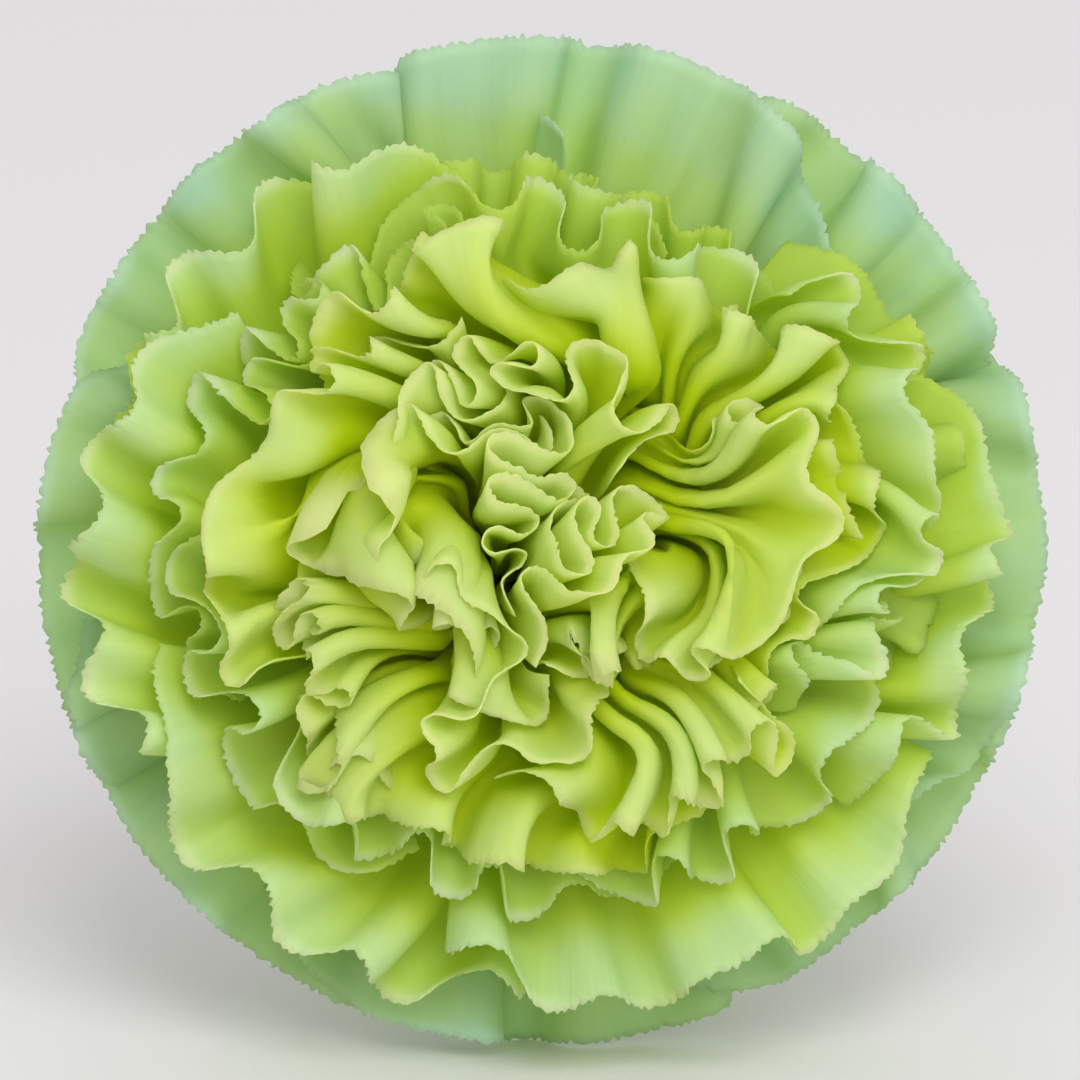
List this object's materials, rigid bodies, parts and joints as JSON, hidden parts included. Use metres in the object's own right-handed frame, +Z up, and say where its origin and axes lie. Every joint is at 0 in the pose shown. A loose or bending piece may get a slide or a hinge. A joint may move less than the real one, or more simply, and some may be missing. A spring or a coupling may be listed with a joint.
{
  "type": "cut carnation",
  "caption": "Full double green carnation bloom with its calyx, bracts, pistil, short leafy stem and ruffled toothed petals, lying on a surface.",
  "frame": {"origin": "on the surface that the flower lies on, below the middle of the flower's bounding box", "axes": "+Z up from the surface; the bloom faces -Y and the stem runs towards +Y; +X is to the right of someone who looks at the face of the bloom"},
  "size_m": [0.084, 0.1812, 0.0815],
  "materials": {
    "guard_petal": "mint green at the toothed margin, lime towards the claw, softly velvety",
    "outer_petal": "pale green margin, lime towards the claw, softly velvety",
    "inner_petal": "pale lime margin, deep lime towards the claw, softly velvety",
    "calyx": "smooth waxy green with fine long ribs",
    "bract": "smooth waxy grey green",
    "stem": "waxy grey green with a pale bloom",
    "leaf": "waxy blue green with fine long veins",
    "pistil": "pale green, slightly moist"
  },
  "bodies": {
    "root": {"crown_petal_1": "inner_petal", "crown_petal_2": "inner_petal", "crown_petal_3": "inner_petal", "heart_petal_1": "inner_petal", "heart_petal_2": "inner_petal", "heart_petal_3": "inner_petal", "heart_petal_4": "inner_petal", "heart_petal_5": "inner_petal", "inner_petal_1": "inner_petal", "inner_petal_2": "inner_petal", "inner_petal_3": "inner_petal", "inner_petal_4": "inner_petal", "inner_petal_5": "inner_petal", "inner_petal_6": "inner_petal", "inner_petal_7": "inner_petal", "middle_petal_1": "outer_petal", "middle_petal_2": "outer_petal", "middle_petal_3": "outer_petal", "middle_petal_4": "outer_petal", "middle_petal_5": "outer_petal", "middle_petal_6": "outer_petal", "middle_petal_7": "outer_petal", "middle_petal_8": "outer_petal", "outer_petal_1": "outer_petal", "outer_petal_2": "outer_petal", "outer_petal_3": "outer_petal", "outer_petal_4": "outer_petal", "outer_petal_5": "outer_petal", "outer_petal_6": "outer_petal", "outer_petal_7": "outer_petal", "outer_petal_8": "outer_petal", "guard_petal_1": "guard_petal", "guard_petal_2": "guard_petal", "guard_petal_3": "guard_petal", "guard_petal_4": "guard_petal", "guard_petal_5": "guard_petal", "guard_petal_6": "guard_petal", "guard_petal_7": "guard_petal", "guard_petal_8": "guard_petal", "calyx": "calyx", "inner_bract_1": "bract", "inner_bract_2": "bract", "outer_bract_1": "bract", "outer_bract_2": "bract", "receptacle": "pistil", "ovary": "pistil", "style_1": "pistil", "style_2": "pistil", "stem": "stem", "upper_leaf_1": "leaf", "upper_leaf_2": "leaf", "lower_leaf_1": "leaf", "lower_leaf_2": "leaf"}
  },
  "joints": []
}
